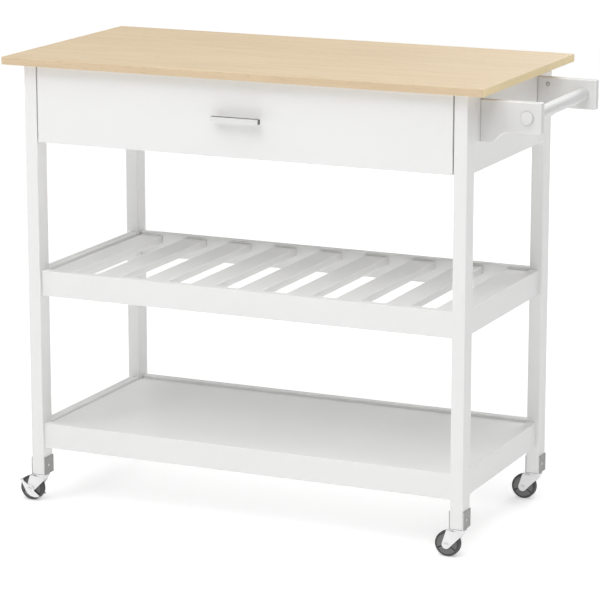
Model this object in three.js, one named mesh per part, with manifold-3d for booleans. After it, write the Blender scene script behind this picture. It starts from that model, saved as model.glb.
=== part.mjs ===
// Rolling kitchen cart: a wooden worktop on four straight posts, a drawer under the top,
// a slatted middle shelf, a closed bottom shelf, a towel bar at one end and four swivel casters.
// Millimetres, +Z up, drawer side towards -Y, towel bar towards +X.
// The origin is on the floor, under the middle of the whole object.

import * as THREE from 'three';
import { mergeVertices } from 'three/addons/utils/BufferGeometryUtils.js';
import Module from 'manifold-3d';

const wasm = await Module();
wasm.setup();

// ---------------------------------------------------------------- driving dimensions

const CART_HEIGHT = 900;
const FIT_GAP = 0.3; // between faces that touch on the real object
const CUT_PAST = 1; // how far a cutter runs past the face it cuts through
const EDGE_EASE = 1; // small chamfer on sawn and painted edges

const WORKTOP_LENGTH = 1000;
const WORKTOP_DEPTH = 500;
const WORKTOP_THICK = 15;
const WORKTOP_CORNER_RADIUS = 4;

const LEG_WIDTH = 26;
const LEG_DEPTH = 38;
const SIDE_OVERHANG = 38.5; // worktop end to outer leg face
const FRONT_OVERHANG = 22.5; // worktop front or back to outer leg face

const APRON_HEIGHT = 151.5;
const PANEL_THICK = 16;

const RAIL_HEIGHT = 51;
const RAIL_THICK = 18;
const RAIL_INSET = 7; // rail face behind the outer leg face
const MIDDLE_SHELF_TOP = 476;
const BOTTOM_SHELF_TOP = 164.5;
const SHELF_LIP = 6; // how far the rails stand above the shelf surface

const SLAT_COUNT = 9;
const SLAT_THICK = 15;
const SLAT_HOUSING = 5; // depth of the pocket that holds each slat end
const BOTTOM_PANEL_THICK = 9;
const BOTTOM_PANEL_GROOVE = 6;

const DRAWER_FRONT_GAP = 2.5;
const DRAWER_FRONT_THICK = 16;
const DRAWER_SIDE_HEIGHT = 100;
const DRAWER_SIDE_LENGTH = 395;
const DRAWER_BOARD_THICK = 12;
const DRAWER_SIDE_RISE = 12; // side's lower edge above the front's lower edge
const DRAWER_BOTTOM_THICK = 4;
const DRAWER_BOTTOM_RISE = 8; // bottom panel above the side's lower edge
const DRAWER_GROOVE = 5;

const RUNNER_SPACE = 12.7; // side clearance that the runner pair fills
const RUNNER_STEEL = 1.2;
const RUNNER_HEIGHT = 35;
const RUNNER_PLAY = 2.5; // ball track between the two channels
const RUNNER_ABOVE_BOTTOM = 27; // runner's lower edge above the drawer side's lower edge

const PULL_LENGTH = 100;
const PULL_HEIGHT = 10;
const PULL_DEPTH = 12;
const PULL_STANDOFF = 10;
const PULL_POST_RADIUS = 4;
const PULL_POST_INSET = 12;
const PULL_POST_ROOT = 1; // how far a post reaches into the bar
const PULL_BELOW_TOP = 69; // pull's upper face below the drawer front's upper edge

const BRACKET_REACH = 118;
const BRACKET_THICK = 18;
const BRACKET_SPREAD = 326; // over the outer faces of the two brackets
const BRACKET_BELOW_TOP = 18; // bracket's upper edge below the worktop's underside
const BRACKET_ROOT_HEIGHT = 79;
const BRACKET_ARM_HEIGHT = 58;
const BRACKET_FOOT = 24; // flat lower edge next to the panel
const BRACKET_RISE_RUN = 22; // run of the sloping edge that rises to the arm
const BAR_RADIUS = 12.5;
const BAR_FROM_END = 27;
const BAR_PROUD = 5;
const BAR_EDGE = 2;
const NUT_RADIUS = 3.6;
const NUT_LENGTH = 13;
const NUT_FROM_PANEL = 21;
const NUT_BELOW_TOP = 12.5;
const NUT_CLEARANCE = 0.5;

const WHEEL_RADIUS = 25;
const WHEEL_WIDTH = 17;
const WHEEL_SHOULDER = 4;
const WHEEL_RIM_DEPTH = 6; // tyre and rim, in from the tread
const WHEEL_DISH = 1; // web face in from the rim face
const WHEEL_HUB_RADIUS = 7;
const WHEEL_HUB_PROUD = 1.2;
const AXLE_RADIUS = 3;
const AXLE_HEAD_RADIUS = 5;
const AXLE_HEAD_THICK = 2.2;
const RUNNING_CLEARANCE = 0.3;
const CASTER_TRAIL = 22.5;
const FORK_STEEL = 2;
const FORK_SIDE_GAP = 0.8; // hub end to fork plate
const FORK_END_RADIUS = 8.5;
const FORK_REAR_ANGLE = 167; // where the rear edge and the front edge meet the round end
const FORK_FRONT_ANGLE = 318;
const DECK_OVER_WHEEL = 1;
const RACE_RADIUS = 13;
const RACE_THICK = 3.6;
const RACE_GAP = 0.4;
const CUP_RADIUS = 14.2; // round cup on the fork's deck, with the race inside it
const CUP_RIM = 0.9;
const CUP_HEIGHT = 2.6;
const KINGPIN_RADIUS = 4;
const KINGPIN_HEAD_RADIUS = 6.5;
const KINGPIN_HEAD_THICK = 1.4;
const SADDLE_STEEL = 1.5;
const SADDLE_HEIGHT = 36;

const BRAKE_STEEL = 1.5;
const BRAKE_PEDAL_CLEARANCE = 0.6;
const BRAKE_PEDAL_ANGLE = 140;
const BRAKE_PEDAL_SPREAD = 9;
// The lever's edge from one side of the pedal to the other: radius and angle about the axle.
const BRAKE_LOWER_EDGE = [[22.3, 147], [13.2, 171], [11.2, 213], [12.3, 243], [15, 273], [20, 300]];
const BRAKE_TIP = [[25.5, 322], [25, 328]];
const BRAKE_UPPER_EDGE = [
  [12.2, 334], [9.6, 342], [8.5, 5], [8.5, 35], [8.5, 65], [8.5, 95], [8.6, 114], [11, 124],
];

const ROUND_STEPS = 16;
const BAR_STEPS = 24;
const WHEEL_STEPS = 32;
const CURVE_STEPS = 6;
const BEVEL_STEPS = 1;

// ---------------------------------------------------------------- derived positions

const LEG_OUTER_X = WORKTOP_LENGTH / 2 - SIDE_OVERHANG;
const LEG_INNER_X = LEG_OUTER_X - LEG_WIDTH;
const LEG_OUTER_Y = WORKTOP_DEPTH / 2 - FRONT_OVERHANG;
const LEG_INNER_Y = LEG_OUTER_Y - LEG_DEPTH;
const LEG_CENTRE_X = LEG_OUTER_X - LEG_WIDTH / 2;
const LEG_CENTRE_Y = LEG_OUTER_Y - LEG_DEPTH / 2;

const DECK_BOTTOM = 2 * WHEEL_RADIUS + DECK_OVER_WHEEL;
const DECK_TOP = DECK_BOTTOM + FORK_STEEL;
const RACE_BOTTOM = DECK_TOP + RACE_GAP;
const SADDLE_BOTTOM = RACE_BOTTOM + RACE_THICK;
const LEG_BOTTOM = SADDLE_BOTTOM + SADDLE_STEEL + FIT_GAP;

const TOP_UNDERSIDE = CART_HEIGHT - WORKTOP_THICK;
const BODY_TOP = TOP_UNDERSIDE - FIT_GAP;
const APRON_BOTTOM = TOP_UNDERSIDE - APRON_HEIGHT;

const RAIL_OUTER_X = LEG_OUTER_X - RAIL_INSET;
const RAIL_OUTER_Y = LEG_OUTER_Y - RAIL_INSET;
const RAIL_INNER_X = RAIL_OUTER_X - RAIL_THICK;
const RAIL_INNER_Y = RAIL_OUTER_Y - RAIL_THICK;

const DRAWER_FRONT_BACK_Y = -LEG_OUTER_Y + DRAWER_FRONT_THICK;
const DRAWER_SIDE_OUTER_X = LEG_INNER_X - RUNNER_SPACE;
const DRAWER_SIDE_INNER_X = DRAWER_SIDE_OUTER_X - DRAWER_BOARD_THICK;
const DRAWER_SIDE_START_Y = DRAWER_FRONT_BACK_Y + FIT_GAP;
const DRAWER_SIDE_END_Y = DRAWER_SIDE_START_Y + DRAWER_SIDE_LENGTH;
const DRAWER_SIDE_BOTTOM = APRON_BOTTOM + DRAWER_SIDE_RISE;
const DRAWER_BOTTOM_Z = DRAWER_SIDE_BOTTOM + DRAWER_BOTTOM_RISE;
const BACK_PANEL_INNER_Y = LEG_OUTER_Y - PANEL_THICK;

const WHEEL_HALF = WHEEL_WIDTH / 2;
const HUB_HALF = WHEEL_HALF + WHEEL_HUB_PROUD;
const FORK_INNER_HALF = HUB_HALF + FORK_SIDE_GAP;
const FORK_OUTER_HALF = FORK_INNER_HALF + FORK_STEEL;

const BRACKET_TOP = TOP_UNDERSIDE - BRACKET_BELOW_TOP;
const BRACKET_ROOT_X = LEG_OUTER_X + FIT_GAP;
const BRACKET_END_X = BRACKET_ROOT_X + BRACKET_REACH;
const BAR_X = BRACKET_END_X - BAR_FROM_END;
const BAR_Z = BRACKET_TOP - BRACKET_ARM_HEIGHT / 2;

// The object reaches from the worktop's left end to the brackets' right ends.
const REACH_LEFT = -WORKTOP_LENGTH / 2;
const REACH_RIGHT = Math.max(BRACKET_END_X, WORKTOP_LENGTH / 2);
const CENTRE_X = (REACH_LEFT + REACH_RIGHT) / 2;

// ---------------------------------------------------------------- materials

function finish(colour, roughness, metalness) {
  return { colour, roughness, metalness };
}

const BEECH = finish(0xe2d0ae, 0.45, 0);
const WHITE_PAINT = finish(0xeeeeec, 0.4, 0);
const DRAWER_BOARD = finish(0xe6e4df, 0.55, 0);
const BRUSHED_METAL = finish(0xb8b8b6, 0.3, 0.9);
const RUNNER_ZINC = finish(0xc4c6c8, 0.4, 0.8);
const BRIGHT_ZINC = finish(0xd6d7d8, 0.28, 0.85);
const DULL_STEEL = finish(0x969694, 0.5, 0.6);
const WHEEL_GREY = finish(0x5c5c5a, 0.6, 0);

// ---------------------------------------------------------------- geometry helpers

function degrees(angle) {
  return THREE.MathUtils.degToRad(angle);
}

function polar(radius, angle) {
  return new THREE.Vector2(radius * Math.cos(degrees(angle)), radius * Math.sin(degrees(angle)));
}

function toSolid(geometry) {
  const bare = geometry.index ? geometry.toNonIndexed() : geometry.clone();
  bare.deleteAttribute('normal');
  bare.deleteAttribute('uv');
  const merged = mergeVertices(bare);
  const mesh = new wasm.Mesh({
    numProp: 3,
    vertProperties: new Float32Array(merged.attributes.position.array),
    triVerts: new Uint32Array(merged.index.array),
  });
  return new wasm.Manifold(mesh);
}

function toGeometry(solid) {
  const mesh = solid.getMesh();
  const geometry = new THREE.BufferGeometry();
  geometry.setAttribute('position', new THREE.BufferAttribute(new Float32Array(mesh.vertProperties), 3));
  geometry.setIndex(new THREE.BufferAttribute(new Uint32Array(mesh.triVerts), 1));
  geometry.computeVertexNormals();
  return geometry;
}

// A plain block from its low corner to its high corner.
function blockGeometry(low, high) {
  const size = high.map((value, axis) => value - low[axis]);
  const centre = high.map((value, axis) => (value + low[axis]) / 2);
  return new THREE.BoxGeometry(...size).translate(...centre);
}

function block(low, high) {
  return toSolid(blockGeometry(low, high));
}

// A rectangle about the origin, its corners cut off by `ease`.
function easedRectangle(width, depth, ease) {
  const halfX = width / 2;
  const halfY = depth / 2;
  return new THREE.Shape([
    new THREE.Vector2(-halfX + ease, -halfY),
    new THREE.Vector2(halfX - ease, -halfY),
    new THREE.Vector2(halfX, -halfY + ease),
    new THREE.Vector2(halfX, halfY - ease),
    new THREE.Vector2(halfX - ease, halfY),
    new THREE.Vector2(-halfX + ease, halfY),
    new THREE.Vector2(-halfX, halfY - ease),
    new THREE.Vector2(-halfX, -halfY + ease),
  ]);
}

// Extrudes along +Z between two heights; the eased end edges stay inside the outline.
function extrudeBetween(shape, low, high, ease, steps) {
  return new THREE.ExtrudeGeometry(shape, {
    depth: high - low - 2 * ease,
    curveSegments: steps,
    bevelEnabled: ease > 0,
    bevelThickness: ease,
    bevelSize: ease,
    bevelOffset: -ease,
    bevelSegments: BEVEL_STEPS,
  }).translate(0, 0, low + ease);
}

// A board with every edge eased, from its low corner to its high corner.
function board(low, high) {
  const width = high[0] - low[0];
  const depth = high[1] - low[1];
  const outline = easedRectangle(width, depth, EDGE_EASE);
  const solid = extrudeBetween(outline, low[2], high[2], EDGE_EASE, 1);
  return solid.translate((low[0] + high[0]) / 2, (low[1] + high[1]) / 2, 0);
}

// Stands an XY outline up into the XZ plane: outline y becomes z, the extrusion runs along Y.
function uprightBetween(shape, lowY, highY, steps) {
  return extrudeBetween(shape, -highY, -lowY, 0, steps).rotateX(Math.PI / 2);
}

function cylinderAlongY(radius, lowY, highY, x, z) {
  const solid = new THREE.CylinderGeometry(radius, radius, highY - lowY, ROUND_STEPS);
  return toSolid(solid.translate(x, (lowY + highY) / 2, z));
}

function cylinderAlongZ(radius, lowZ, highZ, x, y) {
  const solid = new THREE.CylinderGeometry(radius, radius, highZ - lowZ, ROUND_STEPS).rotateX(Math.PI / 2);
  return toSolid(solid.translate(x, y, (lowZ + highZ) / 2));
}

function subtractAll(solid, cutters) {
  return cutters.reduce((rest, cutter) => rest.subtract(cutter), solid);
}

// ---------------------------------------------------------------- assembly

const cart = new THREE.Group();
cart.position.x = -CENTRE_X;

function addPiece(name, geometry, look, parent = cart) {
  const material = new THREE.MeshStandardMaterial({
    color: look.colour,
    roughness: look.roughness,
    metalness: look.metalness,
  });
  const mesh = new THREE.Mesh(geometry, material);
  mesh.name = name;
  parent.add(mesh);
  return mesh;
}

// The four corners of the frame, each with its signs along X and Y.
const CORNERS = [
  { name: 'front_left', x: -1, y: -1, braked: true },
  { name: 'front_right', x: 1, y: -1, braked: false },
  { name: 'back_left', x: -1, y: 1, braked: true },
  { name: 'back_right', x: 1, y: 1, braked: false },
];
const SIDES = [
  { name: 'left', sign: -1 },
  { name: 'right', sign: 1 },
];

// Mirrors a span measured outwards from the middle onto the side that `sign` names.
function span(sign, inner, outer) {
  return sign > 0 ? [inner, outer] : [-outer, -inner];
}

// Worktop: one slab, its vertical corners slightly rounded.
function buildWorktop() {
  const halfX = WORKTOP_LENGTH / 2;
  const halfY = WORKTOP_DEPTH / 2;
  const radius = WORKTOP_CORNER_RADIUS;
  const outline = new THREE.Shape();
  outline.absarc(halfX - radius, -halfY + radius, radius, degrees(-90), 0);
  outline.absarc(halfX - radius, halfY - radius, radius, 0, degrees(90));
  outline.absarc(-halfX + radius, halfY - radius, radius, degrees(90), degrees(180));
  outline.absarc(-halfX + radius, -halfY + radius, radius, degrees(180), degrees(270));
  addPiece('worktop', extrudeBetween(outline, TOP_UNDERSIDE, CART_HEIGHT, EDGE_EASE, CURVE_STEPS), BEECH);
}

// Legs, side panels and back panel: the fixed carcass under the worktop.
function buildCarcass() {
  for (const corner of CORNERS) {
    const [lowX, highX] = span(corner.x, LEG_INNER_X, LEG_OUTER_X);
    const [lowY, highY] = span(corner.y, LEG_INNER_Y, LEG_OUTER_Y);
    addPiece(`leg_${corner.name}`, board([lowX, lowY, LEG_BOTTOM], [highX, highY, BODY_TOP]), WHITE_PAINT);
  }
  const panelHalfY = LEG_INNER_Y - FIT_GAP;
  for (const side of SIDES) {
    const [lowX, highX] = span(side.sign, LEG_OUTER_X - PANEL_THICK, LEG_OUTER_X);
    const panel = board([lowX, -panelHalfY, APRON_BOTTOM], [highX, panelHalfY, BODY_TOP]);
    addPiece(`side_panel_${side.name}`, panel, WHITE_PAINT);
  }
  const halfX = LEG_INNER_X - FIT_GAP;
  const back = board([-halfX, BACK_PANEL_INNER_Y, APRON_BOTTOM], [halfX, LEG_OUTER_Y, BODY_TOP]);
  addPiece('back_panel', back, WHITE_PAINT);
}

// Long rails run between the left and right legs; short rails between the front and back legs.
// `housings` are cut from the long rails, `grooves` from the short ones.
function buildShelfFrame(shelf, top, housings, grooves) {
  const bottom = top - RAIL_HEIGHT;
  const halfX = LEG_INNER_X - FIT_GAP;
  const halfY = LEG_INNER_Y - FIT_GAP;
  for (const [place, sign] of [['front', -1], ['back', 1]]) {
    const [lowY, highY] = span(sign, RAIL_INNER_Y, RAIL_OUTER_Y);
    const rail = toSolid(board([-halfX, lowY, bottom], [halfX, highY, top]));
    addPiece(`${shelf}_rail_${place}`, toGeometry(subtractAll(rail, housings)), WHITE_PAINT);
  }
  for (const side of SIDES) {
    const [lowX, highX] = span(side.sign, RAIL_INNER_X, RAIL_OUTER_X);
    const rail = toSolid(board([lowX, -halfY, bottom], [highX, halfY, top]));
    addPiece(`${shelf}_rail_${side.name}`, toGeometry(subtractAll(rail, grooves)), WHITE_PAINT);
  }
}

// Middle shelf: slats and gaps of one width fill the space between the legs.
function buildMiddleShelf() {
  const slatTop = MIDDLE_SHELF_TOP - SHELF_LIP;
  const slatBottom = slatTop - SLAT_THICK;
  const start = -Math.min(LEG_INNER_X, RAIL_INNER_X) + FIT_GAP;
  const slatWidth = (-2 * start) / (2 * SLAT_COUNT - 1);
  const slatHalfY = RAIL_INNER_Y + SLAT_HOUSING - FIT_GAP;
  const housings = [];
  for (let index = 0; index < SLAT_COUNT; index++) {
    const lowX = start + 2 * index * slatWidth;
    const highX = lowX + slatWidth;
    const slat = board([lowX, -slatHalfY, slatBottom], [highX, slatHalfY, slatTop]);
    addPiece(`slat_${index + 1}`, slat, WHITE_PAINT);
    housings.push(block(
      [lowX - FIT_GAP, -RAIL_INNER_Y - SLAT_HOUSING, slatBottom - FIT_GAP],
      [highX + FIT_GAP, RAIL_INNER_Y + SLAT_HOUSING, slatTop + FIT_GAP],
    ));
  }
  buildShelfFrame('middle', MIDDLE_SHELF_TOP, housings, []);
}

// Bottom shelf: one panel, its edges in grooves of the rails and notched round the legs.
function buildBottomShelf() {
  const panelTop = BOTTOM_SHELF_TOP - SHELF_LIP;
  const panelBottom = panelTop - BOTTOM_PANEL_THICK;
  const grooveX = RAIL_INNER_X + BOTTOM_PANEL_GROOVE;
  const grooveY = RAIL_INNER_Y + BOTTOM_PANEL_GROOVE;
  const grooveLow = panelBottom - FIT_GAP;
  const grooveHigh = panelTop + FIT_GAP;
  const groove = block([-grooveX, -grooveY, grooveLow], [grooveX, grooveY, grooveHigh]);
  buildShelfFrame('bottom', BOTTOM_SHELF_TOP, [groove], [groove]);

  const panelHalfX = grooveX - FIT_GAP;
  const panelHalfY = grooveY - FIT_GAP;
  const notchX = LEG_INNER_X - FIT_GAP;
  const notchY = LEG_INNER_Y - FIT_GAP;
  const panel = block([-panelHalfX, -panelHalfY, panelBottom], [panelHalfX, panelHalfY, panelTop]);
  const notches = CORNERS.map((corner) => {
    const [lowX, highX] = span(corner.x, notchX, LEG_OUTER_X);
    const [lowY, highY] = span(corner.y, notchY, LEG_OUTER_Y);
    return block([lowX, lowY, grooveLow], [highX, highY, grooveHigh]);
  });
  addPiece('bottom_shelf_panel', toGeometry(subtractAll(panel, notches)), WHITE_PAINT);
}

// Drawer: a flush front, a four-piece box and a thin bottom held in grooves.
function buildDrawer() {
  const drawer = new THREE.Group();
  cart.add(drawer);
  const grooveLow = DRAWER_BOTTOM_Z - FIT_GAP;
  const grooveHigh = DRAWER_BOTTOM_Z + DRAWER_BOTTOM_THICK + FIT_GAP;
  const grooveX = DRAWER_SIDE_INNER_X + DRAWER_GROOVE;
  const grooveStartY = DRAWER_FRONT_BACK_Y - DRAWER_GROOVE;
  const grooveEndY = DRAWER_SIDE_END_Y + CUT_PAST;
  const groove = block([-grooveX, grooveStartY, grooveLow], [grooveX, grooveEndY, grooveHigh]);

  const frontHalfX = LEG_INNER_X - DRAWER_FRONT_GAP;
  const frontTop = TOP_UNDERSIDE - DRAWER_FRONT_GAP;
  const frontLow = [-frontHalfX, -LEG_OUTER_Y, APRON_BOTTOM];
  const front = toSolid(board(frontLow, [frontHalfX, DRAWER_FRONT_BACK_Y, frontTop]));
  addPiece('drawer_front', toGeometry(front.subtract(groove)), WHITE_PAINT, drawer);

  const sideTop = DRAWER_SIDE_BOTTOM + DRAWER_SIDE_HEIGHT;
  for (const side of SIDES) {
    const [lowX, highX] = span(side.sign, DRAWER_SIDE_INNER_X, DRAWER_SIDE_OUTER_X);
    const low = [lowX, DRAWER_SIDE_START_Y, DRAWER_SIDE_BOTTOM];
    const wall = toSolid(board(low, [highX, DRAWER_SIDE_END_Y, sideTop]));
    addPiece(`drawer_side_${side.name}`, toGeometry(wall.subtract(groove)), DRAWER_BOARD, drawer);
  }

  const backHalfX = DRAWER_SIDE_INNER_X - FIT_GAP;
  const backStartY = DRAWER_SIDE_END_Y - DRAWER_BOARD_THICK;
  const backLow = [-backHalfX, backStartY, grooveHigh];
  addPiece('drawer_back', board(backLow, [backHalfX, DRAWER_SIDE_END_Y, sideTop]), DRAWER_BOARD, drawer);

  const bottomHalfX = grooveX - FIT_GAP;
  const bottomLow = [-bottomHalfX, grooveStartY + FIT_GAP, DRAWER_BOTTOM_Z];
  const bottomHigh = [bottomHalfX, DRAWER_SIDE_END_Y - FIT_GAP, DRAWER_BOTTOM_Z + DRAWER_BOTTOM_THICK];
  addPiece('drawer_bottom', blockGeometry(bottomLow, bottomHigh), DRAWER_BOARD, drawer);

  addPiece('drawer_pull', pullGeometry(frontTop), BRUSHED_METAL, drawer);
}

// Pull: a rectangular bar on two round posts.
function pullGeometry(frontTop) {
  const barBackY = -LEG_OUTER_Y - FIT_GAP - PULL_STANDOFF;
  const barTop = frontTop - PULL_BELOW_TOP;
  const halfX = PULL_LENGTH / 2;
  const low = [-halfX, barBackY - PULL_DEPTH, barTop - PULL_HEIGHT];
  let pull = toSolid(board(low, [halfX, barBackY, barTop]));
  for (const side of SIDES) {
    const postX = side.sign * (halfX - PULL_POST_INSET);
    const postZ = barTop - PULL_HEIGHT / 2;
    const postEndY = -LEG_OUTER_Y - FIT_GAP;
    pull = pull.add(cylinderAlongY(PULL_POST_RADIUS, barBackY - PULL_POST_ROOT, postEndY, postX, postZ));
  }
  return toGeometry(pull);
}

// A channel of thin steel along Y. Its web faces outwards and its flanges point to the middle.
function channel(webX, flangeX, lowZ, highZ, startY, endY) {
  const inward = Math.sign(flangeX - webX);
  const outside = block(
    [Math.min(webX, flangeX), startY, lowZ],
    [Math.max(webX, flangeX), endY, highZ],
  );
  const cutFrom = webX + inward * RUNNER_STEEL;
  const cutTo = flangeX + inward * CUT_PAST;
  const inside = block(
    [Math.min(cutFrom, cutTo), startY - CUT_PAST, lowZ + RUNNER_STEEL],
    [Math.max(cutFrom, cutTo), endY + CUT_PAST, highZ - RUNNER_STEEL],
  );
  return toGeometry(outside.subtract(inside));
}

// Runner pairs: the wide channel is screwed to the legs, the narrow one to the drawer side.
function buildRunners() {
  const lowZ = DRAWER_SIDE_BOTTOM + RUNNER_ABOVE_BOTTOM;
  const highZ = lowZ + RUNNER_HEIGHT;
  const startY = DRAWER_FRONT_BACK_Y + FIT_GAP;
  const fixedEndY = BACK_PANEL_INNER_Y - FIT_GAP;
  const inset = RUNNER_STEEL + RUNNER_PLAY;
  for (const side of SIDES) {
    const fixedWeb = side.sign * (LEG_INNER_X - FIT_GAP);
    const fixedFlange = side.sign * (DRAWER_SIDE_OUTER_X + inset);
    const fixed = channel(fixedWeb, fixedFlange, lowZ, highZ, startY, fixedEndY);
    addPiece(`runner_fixed_${side.name}`, fixed, RUNNER_ZINC);
    const movingWeb = side.sign * (DRAWER_SIDE_OUTER_X + FIT_GAP);
    const movingFlange = side.sign * (LEG_INNER_X - FIT_GAP - inset);
    const moving = channel(movingWeb, movingFlange, lowZ + inset, highZ - inset, startY, DRAWER_SIDE_END_Y);
    addPiece(`runner_moving_${side.name}`, moving, RUNNER_ZINC);
  }
}

// Towel rail: two shaped brackets on the right side panel with a round bar through both.
function buildTowelRail() {
  const holeRadius = BAR_RADIUS + RUNNING_CLEARANCE;
  const outline = new THREE.Shape();
  const rootBottom = BRACKET_TOP - BRACKET_ROOT_HEIGHT;
  const armBottom = BRACKET_TOP - BRACKET_ARM_HEIGHT;
  const riseStart = BRACKET_ROOT_X + BRACKET_FOOT;
  outline.moveTo(BRACKET_ROOT_X, BRACKET_TOP);
  outline.lineTo(BRACKET_ROOT_X, rootBottom);
  outline.lineTo(riseStart, rootBottom);
  outline.lineTo(riseStart + BRACKET_RISE_RUN, armBottom);
  outline.lineTo(BRACKET_END_X, armBottom);
  outline.lineTo(BRACKET_END_X, BRACKET_TOP);

  const nutX = BRACKET_ROOT_X + NUT_FROM_PANEL;
  const nutZ = BRACKET_TOP - NUT_BELOW_TOP;
  const outer = BRACKET_SPREAD / 2;
  const inner = outer - BRACKET_THICK;
  for (const [place, sign] of [['front', -1], ['back', 1]]) {
    const [lowY, highY] = span(sign, inner, outer);
    const [nutLowY, nutHighY] = span(sign, inner + NUT_CLEARANCE, inner + NUT_CLEARANCE + NUT_LENGTH);
    const [holeLowY, holeHighY] = span(sign, inner - CUT_PAST, inner + 2 * NUT_CLEARANCE + NUT_LENGTH);
    const cheek = toSolid(uprightBetween(outline, lowY, highY, CURVE_STEPS));
    const barHole = cylinderAlongY(holeRadius, lowY - CUT_PAST, highY + CUT_PAST, BAR_X, BAR_Z);
    const nutHole = cylinderAlongY(NUT_RADIUS + NUT_CLEARANCE, holeLowY, holeHighY, nutX, nutZ);
    addPiece(`towel_bracket_${place}`, toGeometry(subtractAll(cheek, [barHole, nutHole])), WHITE_PAINT);
    const nut = cylinderAlongY(NUT_RADIUS, nutLowY, nutHighY, nutX, nutZ);
    addPiece(`bracket_nut_${place}`, toGeometry(nut), BRIGHT_ZINC);
  }

  const half = outer + BAR_PROUD;
  const profile = [
    new THREE.Vector2(0, -half),
    new THREE.Vector2(BAR_RADIUS - BAR_EDGE, -half),
    new THREE.Vector2(BAR_RADIUS, -half + BAR_EDGE),
    new THREE.Vector2(BAR_RADIUS, half - BAR_EDGE),
    new THREE.Vector2(BAR_RADIUS - BAR_EDGE, half),
    new THREE.Vector2(0, half),
  ];
  const bar = new THREE.LatheGeometry(profile, BAR_STEPS).translate(BAR_X, 0, BAR_Z);
  addPiece('towel_bar', bar, WHITE_PAINT);
}

// ---------------------------------------------------------------- casters
// Each caster is modelled about its swivel axis, standing on the floor, its wheel trailing to -X.

// Saddle: a U of sheet steel round the leg's foot, with the fixed race and the kingpin below it.
function saddleSolid() {
  const innerX = LEG_WIDTH / 2 + FIT_GAP;
  const outerX = innerX + SADDLE_STEEL;
  const halfY = LEG_DEPTH / 2;
  const top = SADDLE_BOTTOM + SADDLE_HEIGHT;
  const outside = block([-outerX, -halfY, SADDLE_BOTTOM], [outerX, halfY, top]);
  const insideLow = [-innerX, -halfY - CUT_PAST, SADDLE_BOTTOM + SADDLE_STEEL];
  const inside = block(insideLow, [innerX, halfY + CUT_PAST, top + CUT_PAST]);
  const race = cylinderAlongZ(RACE_RADIUS, RACE_BOTTOM, SADDLE_BOTTOM + SADDLE_STEEL / 2, 0, 0);
  const headTop = DECK_BOTTOM - RACE_GAP;
  const headBottom = headTop - KINGPIN_HEAD_THICK;
  const pin = cylinderAlongZ(KINGPIN_RADIUS, headBottom, SADDLE_BOTTOM, 0, 0);
  const head = cylinderAlongZ(KINGPIN_HEAD_RADIUS, headBottom, headTop, 0, 0);
  return outside.subtract(inside).add(race).add(pin).add(head);
}

// A U-shaped plan: a half round about the swivel axis, open towards -X.
function forkPlan(half, reach) {
  const plan = new THREE.Shape();
  plan.moveTo(-reach, -half);
  plan.lineTo(0, -half);
  plan.absarc(0, 0, half, degrees(-90), degrees(90));
  plan.lineTo(-reach, half);
  return plan;
}

// Fork: one stamping, wide at the deck and tapering down to a round end at the axle.
function forkSolid() {
  const reach = CASTER_TRAIL + FORK_END_RADIUS;
  const side = new THREE.Shape();
  side.moveTo(FORK_OUTER_HALF, DECK_TOP);
  side.lineTo(-CASTER_TRAIL, DECK_TOP);
  side.lineTo(-CASTER_TRAIL, DECK_BOTTOM);
  side.absarc(
    -CASTER_TRAIL, WHEEL_RADIUS, FORK_END_RADIUS, degrees(FORK_REAR_ANGLE), degrees(FORK_FRONT_ANGLE),
  );
  side.lineTo(FORK_OUTER_HALF, DECK_BOTTOM - FORK_STEEL);
  const sideSolid = toSolid(uprightBetween(side, -FORK_OUTER_HALF, FORK_OUTER_HALF, CURVE_STEPS));
  const outside = toSolid(extrudeBetween(forkPlan(FORK_OUTER_HALF, reach), 0, DECK_TOP, 0, CURVE_STEPS));
  const insidePlan = forkPlan(FORK_INNER_HALF, reach + CUT_PAST);
  const inside = toSolid(extrudeBetween(insidePlan, -CUT_PAST, DECK_BOTTOM, 0, CURVE_STEPS));
  const axleHole = axleBore(FORK_OUTER_HALF + CUT_PAST);
  const pinRadius = KINGPIN_RADIUS + RUNNING_CLEARANCE;
  const pinHole = cylinderAlongZ(pinRadius, DECK_BOTTOM - CUT_PAST, DECK_TOP + CUT_PAST, 0, 0);
  const cupTop = DECK_TOP + CUP_HEIGHT;
  const cup = cylinderAlongZ(CUP_RADIUS, DECK_BOTTOM, cupTop, 0, 0);
  const cupInside = cylinderAlongZ(CUP_RADIUS - CUP_RIM, DECK_TOP, cupTop + CUT_PAST, 0, 0);
  const stamping = outside.intersect(sideSolid).add(cup.subtract(cupInside));
  return subtractAll(stamping, [inside, axleHole, pinHole]);
}

function axleBore(half) {
  return cylinderAlongY(AXLE_RADIUS + RUNNING_CLEARANCE, -half, half, -CASTER_TRAIL, WHEEL_RADIUS);
}

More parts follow.
